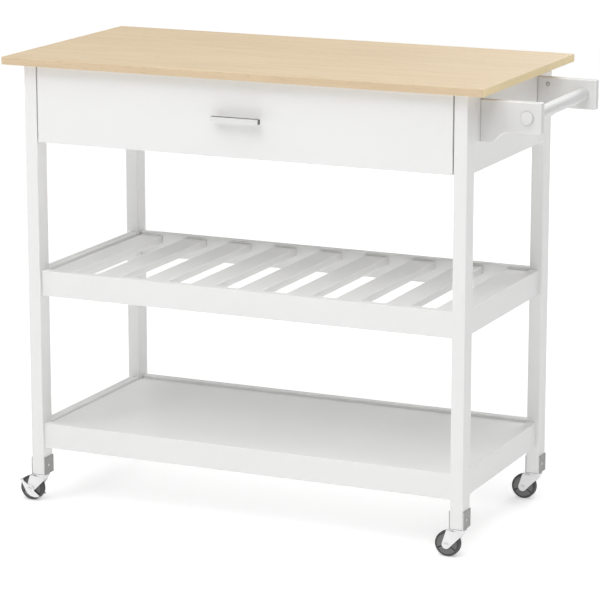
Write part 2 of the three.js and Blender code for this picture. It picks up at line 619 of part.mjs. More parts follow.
// Wheel: tyre and hub in one moulding with a dished web and a bore for the axle.
function wheelGeometry() {
  const bore = AXLE_RADIUS + RUNNING_CLEARANCE;
  const rim = WHEEL_RADIUS - WHEEL_RIM_DEPTH;
  const webHalf = WHEEL_HALF - WHEEL_DISH;
  const flat = WHEEL_HALF - WHEEL_SHOULDER;
  const shoulder = WHEEL_SHOULDER * (1 - Math.SQRT1_2);
  const half = [
    [bore, HUB_HALF],
    [WHEEL_HUB_RADIUS, HUB_HALF],
    [WHEEL_HUB_RADIUS, webHalf],
    [rim, webHalf],
    [rim, WHEEL_HALF],
    [WHEEL_RADIUS - WHEEL_SHOULDER, WHEEL_HALF],
    [WHEEL_RADIUS - shoulder, WHEEL_HALF - shoulder],
    [WHEEL_RADIUS, flat],
  ];
  const lower = half.map(([radius, y]) => [radius, -y]);
  const ring = [...lower, ...half.reverse(), lower[0]];
  const profile = ring.map(([radius, y]) => new THREE.Vector2(radius, y));
  return new THREE.LatheGeometry(profile, WHEEL_STEPS).translate(-CASTER_TRAIL, 0, WHEEL_RADIUS);
}

// Axle: a rivet with a head outside each fork plate, or outside the brake where there is one.
function axleGeometry(braked) {
  const grip = FORK_OUTER_HALF + FIT_GAP + (braked ? BRAKE_STEEL + FIT_GAP : 0);
  const end = grip + AXLE_HEAD_THICK;
  const crown = AXLE_HEAD_THICK / 2;
  const half = [
    [AXLE_RADIUS, grip],
    [AXLE_HEAD_RADIUS, grip],
    [AXLE_HEAD_RADIUS, grip + crown],
    [AXLE_RADIUS, end],
    [0, end],
  ];
  const lower = half.map(([radius, y]) => [radius, -y]).reverse();
  const profile = [...lower, ...half].map(([radius, y]) => new THREE.Vector2(radius, y));
  return new THREE.LatheGeometry(profile, ROUND_STEPS).translate(-CASTER_TRAIL, 0, WHEEL_RADIUS);
}

// Brake: a stamped lever outside both fork plates, joined by a pedal strip across the tread.
function brakeSolid() {
  const innerY = FORK_OUTER_HALF + FIT_GAP;
  const outerY = innerY + BRAKE_STEEL;
  const pedalInner = WHEEL_RADIUS + BRAKE_PEDAL_CLEARANCE;
  const pedalOuter = pedalInner + BRAKE_STEEL;
  const upperAngle = BRAKE_PEDAL_ANGLE - BRAKE_PEDAL_SPREAD / 2;
  const lowerAngle = BRAKE_PEDAL_ANGLE + BRAKE_PEDAL_SPREAD / 2;
  const pedalEdge = [[pedalOuter, upperAngle], [pedalOuter, lowerAngle]];
  const edge = [...pedalEdge, ...BRAKE_LOWER_EDGE, ...BRAKE_TIP, ...BRAKE_UPPER_EDGE];
  const outline = new THREE.Shape(edge.map(([radius, angle]) => polar(radius, angle)));
  const strip = new THREE.Shape();
  strip.absarc(0, 0, pedalOuter, degrees(upperAngle), degrees(lowerAngle));
  strip.absarc(0, 0, pedalInner, degrees(lowerAngle), degrees(upperAngle), true);
  const near = toSolid(uprightBetween(outline, -outerY, -innerY, CURVE_STEPS));
  const far = toSolid(uprightBetween(outline, innerY, outerY, CURVE_STEPS));
  const pedal = toSolid(uprightBetween(strip, -outerY, outerY, CURVE_STEPS));
  const lever = near.add(pedal).add(far).translate([-CASTER_TRAIL, 0, WHEEL_RADIUS]);
  return lever.subtract(axleBore(outerY + CUT_PAST));
}

function buildCasters() {
  const saddle = toGeometry(saddleSolid());
  const fork = toGeometry(forkSolid());
  const wheel = wheelGeometry();
  const brake = toGeometry(brakeSolid());
  for (const corner of CORNERS) {
    const caster = new THREE.Group();
    caster.position.set(corner.x * LEG_CENTRE_X, corner.y * LEG_CENTRE_Y, 0);
    cart.add(caster);
    addPiece(`caster_saddle_${corner.name}`, saddle.clone(), DULL_STEEL, caster);
    addPiece(`caster_fork_${corner.name}`, fork.clone(), BRIGHT_ZINC, caster);
    addPiece(`caster_axle_${corner.name}`, axleGeometry(corner.braked), BRIGHT_ZINC, caster);
    addPiece(`caster_wheel_${corner.name}`, wheel.clone(), WHEEL_GREY, caster);
    if (corner.braked) {
      addPiece(`caster_brake_${corner.name}`, brake.clone(), BRIGHT_ZINC, caster);
    }
  }
}

buildWorktop();
buildCarcass();
buildMiddleShelf();
buildBottomShelf();
buildDrawer();
buildRunners();
buildTowelRail();
buildCasters();

const root = new THREE.Group();
root.add(cart);
export default root;
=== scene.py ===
from math import cos, pi, radians, sin, tau

import bmesh
import bpy
from mathutils import Matrix, Vector


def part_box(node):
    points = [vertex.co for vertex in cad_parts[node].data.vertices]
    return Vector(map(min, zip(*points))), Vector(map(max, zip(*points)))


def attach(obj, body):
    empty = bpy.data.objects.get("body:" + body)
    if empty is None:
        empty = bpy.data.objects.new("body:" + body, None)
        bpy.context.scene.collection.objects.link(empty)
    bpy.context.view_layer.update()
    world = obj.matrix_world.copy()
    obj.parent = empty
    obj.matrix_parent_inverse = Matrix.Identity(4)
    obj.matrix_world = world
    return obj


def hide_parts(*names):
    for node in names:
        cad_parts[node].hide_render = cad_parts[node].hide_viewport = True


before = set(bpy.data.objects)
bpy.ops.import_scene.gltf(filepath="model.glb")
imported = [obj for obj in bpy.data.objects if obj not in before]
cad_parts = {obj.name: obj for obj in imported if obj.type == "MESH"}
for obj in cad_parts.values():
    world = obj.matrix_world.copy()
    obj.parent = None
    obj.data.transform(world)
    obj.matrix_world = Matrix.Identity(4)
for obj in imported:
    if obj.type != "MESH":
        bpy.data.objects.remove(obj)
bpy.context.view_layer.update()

# ---------------------------------------------------------------- legs
# Four square-sawn softwood posts, sprayed with a satin white lacquer after their edges are
# sanded round. Each stands in a caster's saddle and is bolted to the panels and rails.

LEG_EDGE = 0.0014
SAME_PLACE = 1e-6
SHARP_FROM = radians(38)
FRONT_BACK = ("front", "back")
LEFT_RIGHT = ("left", "right")
CORNERS = [f"{depth}_{side}" for depth in FRONT_BACK for side in LEFT_RIGHT]


class Wire:
    """An output socket of a finish. Arithmetic adds Math nodes; node() adds any other node."""

    def __init__(self, tree, socket):
        self.tree = tree
        self.socket = socket

    def node(self, kind, settings, inputs, output=0):
        added = self.tree.nodes.new(kind)
        for setting, value in settings.items():
            setattr(added, setting, value)
        for place, value in inputs.items():
            if isinstance(value, Wire):
                self.tree.links.new(value.socket, added.inputs[place])
            else:
                added.inputs[place].default_value = value
        return Wire(self.tree, added.outputs[output])

    def maths(self, operation, first, second):
        return self.node("ShaderNodeMath", {"operation": operation}, {0: first, 1: second})

    def __add__(self, other):
        return self.maths("ADD", self, other)

    def __sub__(self, other):
        return self.maths("SUBTRACT", self, other)

    def __mul__(self, other):
        return self.maths("MULTIPLY", self, other)

    def __rsub__(self, other):
        return self.maths("SUBTRACT", other, self)

    __radd__ = __add__
    __rmul__ = __mul__


def new_finish(name):
    """A new material, and the place on the piece as the first wire to draw its pattern from."""
    material = bpy.data.materials.new(name)
    material.use_nodes = True
    tree = material.node_tree
    return material, Wire(tree, tree.nodes.new("ShaderNodeTexCoord").outputs["Object"])


def noise(place, stretch, detail=3.0, rough=0.5):
    """Noise from 0 to 1, with so many patches a metre along each axis."""
    stretched = place.node("ShaderNodeMapping", {}, {"Vector": place, "Scale": stretch})
    settings = {"Vector": stretched, "Scale": 1.0, "Detail": detail, "Roughness": rough}
    return place.node("ShaderNodeTexNoise", {}, settings)


def between(place, low, high, share):
    """A colour that goes from low to high as share goes from 0 to 1."""
    inputs = {0: share, 6: low, 7: high}
    for index in (6, 7):
        if not isinstance(inputs[index], Wire):
            inputs[index] = (*inputs[index], 1)
    return place.node("ShaderNodeMix", {"data_type": "RGBA"}, inputs, 2)


def step(place, value, start, end):
    """0 where value is under start, 1 over end, and a smooth slope between them."""
    inputs = {"Value": value, "From Min": start, "From Max": end}
    return place.node("ShaderNodeMapRange", {"interpolation_type": "SMOOTHSTEP"}, inputs)


def lay_finish(material, colour, roughness, height, depth, **fixed):
    """Joins colour, roughness and surface height (over depth metres) to the shader."""
    tree = material.node_tree
    shader = tree.nodes["Principled BSDF"]
    bump = colour.node("ShaderNodeBump", {}, {"Height": height, "Distance": depth, "Strength": 1.0})
    tree.links.new(colour.socket, shader.inputs["Base Color"])
    tree.links.new(roughness.socket, shader.inputs["Roughness"])
    tree.links.new(bump.socket, shader.inputs["Normal"])
    for name, value in fixed.items():
        shader.inputs[name.replace("_", " ").title()].default_value = value


def edge_wear_and_highlight(place):
    """1 on the rounded edges of a piece, and 0 on its faces: the mask for edge wear and for painted
    highlights along edges.
    """
    return place.node("ShaderNodeAttribute", {"attribute_name": "edge_wear_and_highlight"}, {}, "Fac")


white_paint, place = new_finish("white_paint")
cloud = noise(place, (3.5, 3.5, 3.5))
spray = noise(place, (620, 620, 620), 2)
drift = noise(place, (45, 45, 45), 2)
edge = edge_wear_and_highlight(place)
paint = between(place, (0.80, 0.80, 0.795), (0.845, 0.845, 0.84), cloud)
# The rounded edges are painted lighter: a painted highlight along the edges.
lay_finish(
    white_paint,
    between(place, paint, (0.86, 0.858, 0.85), edge * 0.6),
    0.36 + 0.1 * drift + 0.07 * edge,
    spray + 0.5 * drift,
    0.00006,
)


def new_shape():
    shape = bmesh.new()
    shape.faces.layers.float.new("edge_wear_and_highlight")
    return shape


def round_edges(shape, edges, radius, segments=3):
    """Rounds the given edges, as sanding does, and marks them for edge wear and painted highlight.
    """
    wear_and_highlight_layer = shape.faces.layers.float["edge_wear_and_highlight"]
    rounded = bmesh.ops.bevel(
        shape,
        geom=list(edges),
        offset=radius,
        affect="EDGES",
        segments=segments,
        profile=0.5,
        material=-1,
    )
    for face in rounded["faces"]:
        face[wear_and_highlight_layer] = 1.0


def block(low, high):
    """A plain block from its low corner to its high corner."""
    shape = new_shape()
    bmesh.ops.create_cube(shape, size=1)
    bmesh.ops.scale(shape, vec=high - low, verts=shape.verts)
    bmesh.ops.translate(shape, vec=(low + high) / 2, verts=shape.verts)
    return shape


def sawn_board(low, high, edge_radius):
    """A board with every edge sanded round."""
    board = block(low, high)
    round_edges(board, board.edges, edge_radius)
    return board


def set_in_place(shape, name, body, finish, slot, *nodes):
    """Makes a shape a piece of the cart: it stands for its CAD nodes and rides on its body."""
    mesh = bpy.data.meshes.new(name)
    shape.to_mesh(mesh)
    shape.free()
    mesh.materials.append(finish)
    mesh.polygons.foreach_set("use_smooth", [True] * len(mesh.polygons))
    mesh.set_sharp_from_angle(angle=SHARP_FROM)
    piece = bpy.data.objects.new(name, mesh)
    bpy.context.scene.collection.objects.link(piece)
    piece.modifiers.new("flat faces stay flat", "WEIGHTED_NORMAL").keep_sharp = True
    if nodes:
        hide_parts(*nodes)
    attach(piece, body)
    return piece


for corner in CORNERS:
    post = sawn_board(*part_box(f"leg_{corner}"), LEG_EDGE)
    set_in_place(post, f"post_{corner}", "frame", white_paint, "white_paint", f"leg_{corner}")

# ---------------------------------------------------------------- bottom shelf
# Four fibreboard rails, milled with a groove along the inside, hold a thin white panel on
# all sides. The panel is notched round the legs; the rails are dowelled and screwed to them.

RAIL_EDGE = 0.0016
GROOVE_SLACK = 0.0003


def draw_out(shape, faces, move):
    """Draws faces out into a solid, the old ones left at its far side. Returns the corners."""
    drawn = bmesh.ops.extrude_face_region(shape, geom=faces)
    moved = [item for item in drawn["geom"] if isinstance(item, bmesh.types.BMVert)]
    bmesh.ops.translate(shape, vec=move, verts=moved)
    return moved


def milled_bar(outline, across, along, low, high):
    """A bar of one cross-section: outline lies in the plane of the two axes named by across,
    and the bar runs between two places on the axis named by along."""
    bar = new_shape()
    corners = []
    for first, second in outline:
        spot = Vector()
        spot[across[0]], spot[across[1]], spot[along] = first, second, low
        corners.append(bar.verts.new(spot))
    run = Vector()
    run[along] = high - low
    draw_out(bar, [bar.faces.new(corners)], run)
    bmesh.ops.recalc_face_normals(bar, faces=bar.faces)
    return bar


def level(line):
    """True of an edge whose two ends are equally high."""
    return abs(line.verts[0].co.z - line.verts[1].co.z) < SAME_PLACE


def grooved_board(low, high, across, along, inwards, panel, edge_radius):
    """An upright board with a groove for a panel's edge, its top and bottom edges rounded.
    inwards is 1 where the panel lies on the positive side of the board, and -1 if not."""
    outer, inner = (low, high) if inwards > 0 else (high, low)
    outer, inner = outer[across], inner[across]
    panel_low, panel_high = panel
    floor = (panel_low if inwards > 0 else panel_high)[across] - inwards * GROOVE_SLACK
    groove_low = panel_low.z - GROOVE_SLACK
    groove_high = panel_high.z + GROOVE_SLACK
    outline = [
        (outer, low.z),
        (inner, low.z),
        (inner, groove_low),
        (floor, groove_low),
        (floor, groove_high),
        (inner, groove_high),
        (inner, high.z),
        (outer, high.z),
    ]
    board = milled_bar(outline, (across, 2), along, low[along], high[along])
    rims = []
    for line in board.edges:
        height = line.verts[0].co.z
        at_rim = min(abs(height - low.z), abs(height - high.z)) < SAME_PLACE
        if at_rim and level(line):
            rims.append(line)
    round_edges(board, rims, edge_radius)
    return board


panel_low, panel_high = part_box("bottom_shelf_panel")
for side in FRONT_BACK + LEFT_RIGHT:
    low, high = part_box(f"bottom_rail_{side}")
    across, along = (1, 0) if side in FRONT_BACK else (0, 1)
    inwards = 1 if side in ("front", "left") else -1
    rail = grooved_board(low, high, across, along, inwards, (panel_low, panel_high), RAIL_EDGE)
    set_in_place(
        rail, f"low_rail_{side}", "frame", white_paint, "white_paint", f"bottom_rail_{side}"
    )

_, near_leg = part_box("leg_front_left")
far_leg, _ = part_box("leg_back_right")
notch_left, notch_front = (near_leg.x + GROOVE_SLACK, near_leg.y + GROOVE_SLACK)
notch_right, notch_back = (far_leg.x - GROOVE_SLACK, far_leg.y - GROOVE_SLACK)
shelf = milled_bar(
    [
        (notch_left, panel_low.y),
        (notch_right, panel_low.y),
        (notch_right, notch_front),
        (panel_high.x, notch_front),
        (panel_high.x, notch_back),
        (notch_right, notch_back),
        (notch_right, panel_high.y),
        (notch_left, panel_high.y),
        (notch_left, notch_back),
        (panel_low.x, notch_back),
        (panel_low.x, notch_front),
        (notch_left, notch_front),
    ],
    (0, 1),
    2,
    panel_low.z,
    panel_high.z,
)
set_in_place(
    shelf, "low_shelf_board", "frame", white_paint, "white_paint", "bottom_shelf_panel"
)

# ---------------------------------------------------------------- middle shelf
# Nine loose slats drop into pockets routed in the front and back rails, each gap as wide as
# a slat. The rails are the same fibreboard as below, without the groove.

SLAT_EDGE = 0.0018
SLACK_ROUND = Vector((GROOVE_SLACK,) * 3)
SLATS = sorted(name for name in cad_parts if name.startswith("slat_"))


def push(shape, faces, move):
    """Pushes a patch of faces off the surface, with walls round it, and returns its corners."""
    moved = draw_out(shape, faces, move)
    bmesh.ops.delete(shape, geom=faces, context="FACES")
    return moved


def sink_pocket(board, axis, face_at, floor_at, low, high):
    """Routs a pocket into the face of a board that looks along the given axis."""
    sides = [other for other in range(3) if other != axis]
    for other in sides:
        for limit in (low[other], high[other]):
            spot, facing = Vector(), Vector()
            spot[other], facing[other] = limit, 1.0
            bmesh.ops.bisect_plane(
                board,
                geom=board.verts[:] + board.edges[:] + board.faces[:],
                dist=1e-7,
                plane_co=spot,
                plane_no=facing,
            )
    sunk = []
    for face in board.faces:
        middle = face.calc_center_median()
        inside = all(low[other] < middle[other] < high[other] for other in sides)
        if inside and abs(middle[axis] - face_at) < SAME_PLACE:
            sunk.append(face)
    depth = Vector()
    depth[axis] = floor_at - face_at
    push(board, sunk, depth)
    bmesh.ops.recalc_face_normals(board, faces=board.faces)


for side in FRONT_BACK + LEFT_RIGHT:
    low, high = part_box(f"middle_rail_{side}")
    rail = sawn_board(low, high, RAIL_EDGE)
    housed = SLATS if side in FRONT_BACK else []
    for slat in housed:
        slat_low, slat_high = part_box(slat)
        slat_low, slat_high = slat_low - SLACK_ROUND, slat_high + SLACK_ROUND
        face_at, slat_end = (high.y, slat_low.y) if side == "front" else (low.y, slat_high.y)
        sink_pocket(rail, 1, face_at, slat_end, slat_low, slat_high)
    set_in_place(
        rail, f"slat_rail_{side}", "frame", white_paint, "white_paint", f"middle_rail_{side}"
    )

for number, slat in enumerate(SLATS, 1):
    strip = sawn_board(*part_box(slat), SLAT_EDGE)
    set_in_place(strip, f"shelf_slat_{number}", "frame", white_paint, "white_paint", slat)

# ---------------------------------------------------------------- apron panels
# Fibreboard panels close the two ends and the back between the legs, flush with their outer
# faces, and leave the front open for the drawer.

PANEL_EDGE = 0.0012

for panel in ("side_panel_left", "side_panel_right", "back_panel"):
    board = sawn_board(*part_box(panel), PANEL_EDGE)
    set_in_place(board, f"apron_{panel}", "frame", white_paint, "white_paint", panel)

# ---------------------------------------------------------------- drawer runners
# Zinc-plated steel channels, roll-formed: the wide one is screwed to the legs, the narrow
# one to the drawer side, and the drawer's weight runs on balls in the space between them.

RUNNER_STEEL = 0.0012
RUNNER_BEND = 0.0016
RUNNER_SCREW = 0.0034
SCREW_FROM_END = 0.02
INNER_BEND = 0.0002
HEAD_RISE = 0.55
RECESS_ARM = 0.5
RECESS_HALF = 0.13

runner_zinc, place = new_finish("runner_zinc")
drawn = noise(place, (900, 9, 900), 3, 0.6)
bloom = noise(place, (60, 60, 60), 2)
lay_finish(
    runner_zinc,
    between(place, (0.52, 0.53, 0.54), (0.66, 0.67, 0.68), 0.6 * drawn + 0.4 * bloom),
    0.3 + 0.2 * drawn,
    drawn,
    0.00003,
    metallic=0.85,
)
bright_zinc, place = new_finish("bright_zinc")
bloom = noise(place, (240, 240, 240), 4, 0.6)
film = noise(place, (35, 35, 35), 2)
edge = edge_wear_and_highlight(place)
plated = between(place, (0.76, 0.765, 0.77), (0.86, 0.865, 0.87), bloom)
# Marked edges are painted lighter and glossier: a painted highlight along the edges.
lay_finish(
    bright_zinc,
    between(place, plated, (0.88, 0.87, 0.85), film * 0.35 + edge * 0.3),
    0.22 + 0.22 * bloom - 0.05 * edge,
    bloom,
    0.00002,
    metallic=0.5,
)


def folded_channel(outer, across, along, low, high, bend, steel):
    """Sheet steel folded to a U: outer holds the four corners of its outside, end to end."""
    first, corner, far_corner, last = (Vector(point) for point in outer)
    up = steel * (first - corner).normalized()
    over = steel * (far_corner - corner).normalized()
    inner = [last - over, far_corner + up - over, corner + up + over, first + over]
    channel = milled_bar([first, corner, far_corner, last, *inner], across, along, low, high)
    inner_bend = max(bend - steel, INNER_BEND)
    for folds, radius in (((corner, far_corner), bend), (inner[1:3], inner_bend)):
        bent = []
        for line in channel.edges:
            start, end = (
                Vector((point.co[across[0]], point.co[across[1]])) for point in line.verts
            )
            at_fold = any((start - fold).length < SAME_PLACE for fold in folds)
            if at_fold and (start - end).length < SAME_PLACE:
                bent.append(line)
        bmesh.ops.bevel(
            channel,
            geom=bent,
            offset=radius,
            affect="EDGES",
            segments=4,
            profile=0.5,
            material=-1,
        )
    return channel


def screw_head(centre, outwards, radius):
    """A domed screw head with a cross recess, its seat at centre, facing outwards."""
    head = new_shape()
    rise = radius * HEAD_RISE
    for height, reach in ((0, 1.0), (0.45, 1.0), (0.8, 0.8), (1.0, 0.45)):
        ring = bmesh.ops.create_circle(head, cap_ends=False, segments=16, radius=radius * reach)
        bmesh.ops.translate(head, vec=(0, 0, rise * height), verts=ring["verts"])
    bmesh.ops.bridge_loops(head, edges=head.edges[:])
    rims = [line for line in head.edges if line.is_boundary]
    bmesh.ops.holes_fill(head, edges=rims, sides=16)
    slot, arm = radius * RECESS_HALF, radius * RECESS_ARM
    for axis in (0, 1):
        for limit in (-arm, -slot, slot, arm):
            spot, facing = Vector(), Vector()
            spot[axis], facing[axis] = limit, 1.0
            top = [face for face in head.faces if face.calc_center_median().z > rise * 0.6]
            top += [line for face in top for line in face.edges]
            top += [corner for face in head.faces for corner in face.verts]
            bmesh.ops.bisect_plane(
                head, geom=list(set(top)), dist=1e-7, plane_co=spot, plane_no=facing
            )
    recess = []
    for face in head.faces:
        middle = face.calc_center_median()
        near, far = sorted((abs(middle.x), abs(middle.y)))
        if middle.z > rise * 0.6 and near < slot and far < arm:
            recess.append(face)
    push(head, recess, (0, 0, -rise * 0.55))
    bmesh.ops.recalc_face_normals(head, faces=head.faces)
    turn = Vector((0, 0, 1)).rotation_difference(Vector(outwards)).to_matrix().to_4x4()
    bmesh.ops.transform(head, matrix=Matrix.Translation(centre) @ turn, verts=head.verts)
    return head


for side in LEFT_RIGHT:
    outwards = 1 if side == "right" else -1
    for kind, body, away in (("fixed", "frame", 1), ("moving", "drawer", -1)):
        low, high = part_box(f"runner_{kind}_{side}")
        web = (high if outwards * away > 0 else low).x
        lips = (low if outwards * away > 0 else high).x
        channel = folded_channel(
            [(lips, low.z), (web, low.z), (web, high.z), (lips, high.z)],
            (0, 2),
            1,
            low.y,
            high.y,
            RUNNER_BEND,
            RUNNER_STEEL,
        )
        set_in_place(
            channel,
            f"channel_{kind}_{side}",
            body,
            runner_zinc,
            "runner_zinc",
            f"runner_{kind}_{side}",
        )
        inner_face = web - outwards * away * RUNNER_STEEL
        ends = (low.y + SCREW_FROM_END, high.y - SCREW_FROM_END)
        places = ends if kind == "fixed" else (*ends, (low.y + high.y) / 2)
        for number, place_y in enumerate(places, 1):
            seat = Vector((inner_face, place_y, (low.z + high.z) / 2))
            screw = screw_head(seat, (-outwards * away, 0, 0), RUNNER_SCREW)
            set_in_place(
                screw, f"screw_{kind}_{side}_{number}", body, bright_zinc, "bright_zinc"
            )

# ---------------------------------------------------------------- drawer
# A painted front screwed to a box of thin white melamine boards, with a hardboard bottom
# slid into grooves round it.

DRAWER_EDGE = 0.0008
HARDBOARD_EDGE = 0.0003

drawer_board, place = new_finish("drawer_board")
print_pattern = noise(place, (350, 350, 350), 3)
cloud = noise(place, (8, 8, 8))
edge = edge_wear_and_highlight(place)
lay_finish(
    drawer_board,
    between(
        place,
        between(place, (0.76, 0.75, 0.725), (0.81, 0.80, 0.78), cloud),
        (0.70, 0.67, 0.60),
        edge * 0.35 + print_pattern * 0.12,
    ),
    0.42 + 0.14 * print_pattern,
    print_pattern,
    0.00004,
)

bottom_low, bottom_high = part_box("drawer_bottom")
low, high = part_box("drawer_front")
front = sawn_board(low, high, PANEL_EDGE)
groove = (bottom_low - SLACK_ROUND, bottom_high + SLACK_ROUND)
sink_pocket(front, 1, high.y, groove[0].y, *groove)
set_in_place(front, "front_of_drawer", "drawer", white_paint, "white_paint", "drawer_front")

for side in LEFT_RIGHT:
    low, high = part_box(f"drawer_side_{side}")
    inwards = 1 if side == "left" else -1
    wall = grooved_board(low, high, 0, 1, inwards, (bottom_low, bottom_high), DRAWER_EDGE)
    set_in_place(
        wall,
        f"wall_of_drawer_{side}",
        "drawer",
        drawer_board,
        "drawer_board",
        f"drawer_side_{side}",
    )

back = sawn_board(*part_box("drawer_back"), DRAWER_EDGE)
set_in_place(back, "back_of_drawer", "drawer", drawer_board, "drawer_board", "drawer_back")
base = sawn_board(bottom_low, bottom_high, HARDBOARD_EDGE)
set_in_place(base, "base_of_drawer", "drawer", drawer_board, "drawer_board", "drawer_bottom")

# ---------------------------------------------------------------- drawer pull
# A solid bar of brushed aluminium on two turned posts. Its top and its sawn ends are painted
# dark grey, a painted reflection of the shaded underside of the worktop.
# Two screws come through the drawer front from the inside and hold it.

PULL_EDGE = 0.0006
PULL_SCREW = 0.0042
POST_LENGTH = 0.010
POST_RADIUS = 0.004
POST_FROM_END = 0.012

pull_metal, place = new_finish("pull_metal")
brushing = noise(place, (14, 2600, 2600), 3, 0.7)
wipe = noise(place, (30, 240, 240), 2)
edge = edge_wear_and_highlight(place)
lay_finish(
    pull_metal,
    between(place, (0.72, 0.72, 0.715), (0.86, 0.86, 0.855), 0.7 * brushing + 0.3 * wipe),
    0.3 + 0.2 * brushing - 0.05 * edge,
    brushing,
    0.00004,
    metallic=0.5,
)
# A dark copy of the pull's metal for its top and ends: painted reflection of the shade under the
# worktop.
pull_painted_dark_reflection, place = new_finish("pull_painted_dark_reflection")
sawing = noise(place, (60, 900, 900), 3, 0.6)
edge = edge_wear_and_highlight(place)
lay_finish(
    pull_painted_dark_reflection,
    between(place, (0.15, 0.15, 0.148), (0.22, 0.22, 0.217), sawing),
    0.42 + 0.16 * sawing - 0.05 * edge,
    sawing,
    0.00004,
    metallic=0.7,
)


def turned(profile, centre, axis, steps):
    """A shape turned about an axis through centre; profile holds (height, radius) pairs."""
    shape = new_shape()
    corners = [shape.verts.new((radius, 0, height)) for height, radius in profile]
    for start, end in zip(corners, corners[1:]):
        shape.edges.new((start, end))
    bmesh.ops.spin(
        shape,
        geom=shape.verts[:] + shape.edges[:],
        cent=(0, 0, 0),
        axis=(0, 0, 1),
        angle=tau,
        steps=steps,
        use_merge=True,
    )
    bmesh.ops.remove_doubles(shape, verts=shape.verts, dist=SAME_PLACE)
    bmesh.ops.recalc_face_normals(shape, faces=shape.faces)
    turn = Vector((0, 0, 1)).rotation_difference(Vector(axis)).to_matrix().to_4x4()
    bmesh.ops.transform(shape, matrix=Matrix.Translation(centre) @ turn, verts=shape.verts)
    return shape


low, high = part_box("drawer_pull")
front_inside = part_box("drawer_front")[1].y
bar_back = high.y - POST_LENGTH
bar = sawn_board(low, Vector((high.x, bar_back, high.z)), PULL_EDGE)
# Top and end faces take the dark copy: painted reflection.
for face in bar.faces:
    if face.normal.z > 0.9 or abs(face.normal.x) > 0.9:
        face.material_index = 1
pull = set_in_place(bar, "pull_bar", "drawer", pull_metal, "pull_metal", "drawer_pull")
pull.data.materials.append(pull_painted_dark_reflection)
middle_z = (low.z + high.z) / 2
for number, place_x in enumerate((low.x + POST_FROM_END, high.x - POST_FROM_END), 1):
    neck = turned(
        [
            (0, 0),
            (0, POST_RADIUS * 0.85),
            (POST_LENGTH * 0.6, POST_RADIUS * 0.85),
            (POST_LENGTH * 0.75, POST_RADIUS),
            (POST_LENGTH * 0.97, POST_RADIUS),
            (POST_LENGTH, POST_RADIUS * 0.93),
            (POST_LENGTH, 0),
        ],
        (place_x, bar_back, middle_z),
        (0, 1, 0),
        24,
    )
    set_in_place(neck, f"pull_post_{number}", "drawer", pull_metal, "pull_metal")
    seat = Vector((place_x, front_inside, middle_z))
    screw = screw_head(seat, (0, 1, 0), PULL_SCREW)
    set_in_place(screw, f"pull_screw_{number}", "drawer", bright_zinc, "bright_zinc")

# ---------------------------------------------------------------- worktop
# A particle board slab faced with light beech-grain laminate. Bands of the same pattern are
# glued round its edges, their grain along each edge, and the vertical corners are rounded.

WORKTOP_CORNER = 0.004
WORKTOP_EDGE = 0.001


def beech_grain(name, along, light, dark):
    """Laminate with straight fine grain; along names the axis that the grain follows."""

    def stretch(length, width):
        return [length if axis == along else width for axis in range(3)]

    material, place = new_finish(name)
    warmth = noise(place, stretch(1.1, 5.5), 2)
    figure = step(place, noise(place, stretch(5, 62), 4, 0.6), 0.36, 0.64)
    streak = noise(place, stretch(24, 240), 3, 0.55)
    fibre = noise(place, stretch(14, 800), 3, 0.6)
    fleck = step(place, noise(place, stretch(55, 380), 2, 0.4), 0.60, 0.70)
    edge = edge_wear_and_highlight(place)
    ground = between(place, dark, light, 0.55 * figure + 0.6 * streak + 0.2 * fibre - 0.18)
    warm = (light[0] * 1.01, light[1] * 0.965, light[2] * 0.93)
    tinted = between(place, ground, warm, warmth * 0.6)
    flecked = between(place, tinted, [dark[0] * 0.86, dark[1] * 0.8, dark[2] * 0.7], fleck * 0.5)
    # Rounded edges are painted lighter: a painted highlight along the edges.
    lay_finish(
        material,
        between(place, flecked, light, edge * 0.35),
        0.4 + 0.12 * fibre + 0.06 * warmth,
        fibre * 0.6 + streak * 0.4 - fleck * 0.5,
        0.00007,
    )
    return material


beech_face = beech_grain("worktop_wood", 0, (0.81, 0.665, 0.465), (0.69, 0.545, 0.355))
beech_band = beech_grain("worktop_band", 0, (0.68, 0.54, 0.365), (0.585, 0.45, 0.285))
beech_end = beech_grain("worktop_end_band", 1, (0.89, 0.735, 0.43), (0.79, 0.64, 0.355))

slab = block(*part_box("worktop"))
upright = [line for line in slab.edges if not level(line)]
bmesh.ops.bevel(
    slab, geom=upright, offset=WORKTOP_CORNER, affect="EDGES", segments=6, profile=0.5, material=-1
)
rims = [line for line in slab.edges if level(line)]
round_edges(slab, rims, WORKTOP_EDGE)
for face in slab.faces:
    if abs(face.normal.z) < 0.5:
        face.material_index = 1 if abs(face.normal.y) > abs(face.normal.x) else 2
top = set_in_place(slab, "beech_top", "frame", beech_face, "worktop_wood", "worktop")
top.data.materials.append(beech_band)
top.data.materials.append(beech_end)

# ---------------------------------------------------------------- towel rail
# Two brackets cut from the painted board, each pulled to the end panel by a bolt into a
# barrel nut, and a painted round bar glued through both of them.

BRACKET_EDGE = 0.0018
BAR_END = 0.002
NUT_FROM_PANEL = 0.021
NUT_BELOW_TOP = 0.0125
NUT_HOLE = 0.0041
NUT_HOLE_DEPTH = 0.014
NUT_HOLE_SIDES = 20
FOOT_RUN = 0.024
RISE_RUN = 0.022
FOOT_BEND = 0.004
ARM_BEND = 0.0075
ARM_HEIGHT = 0.058

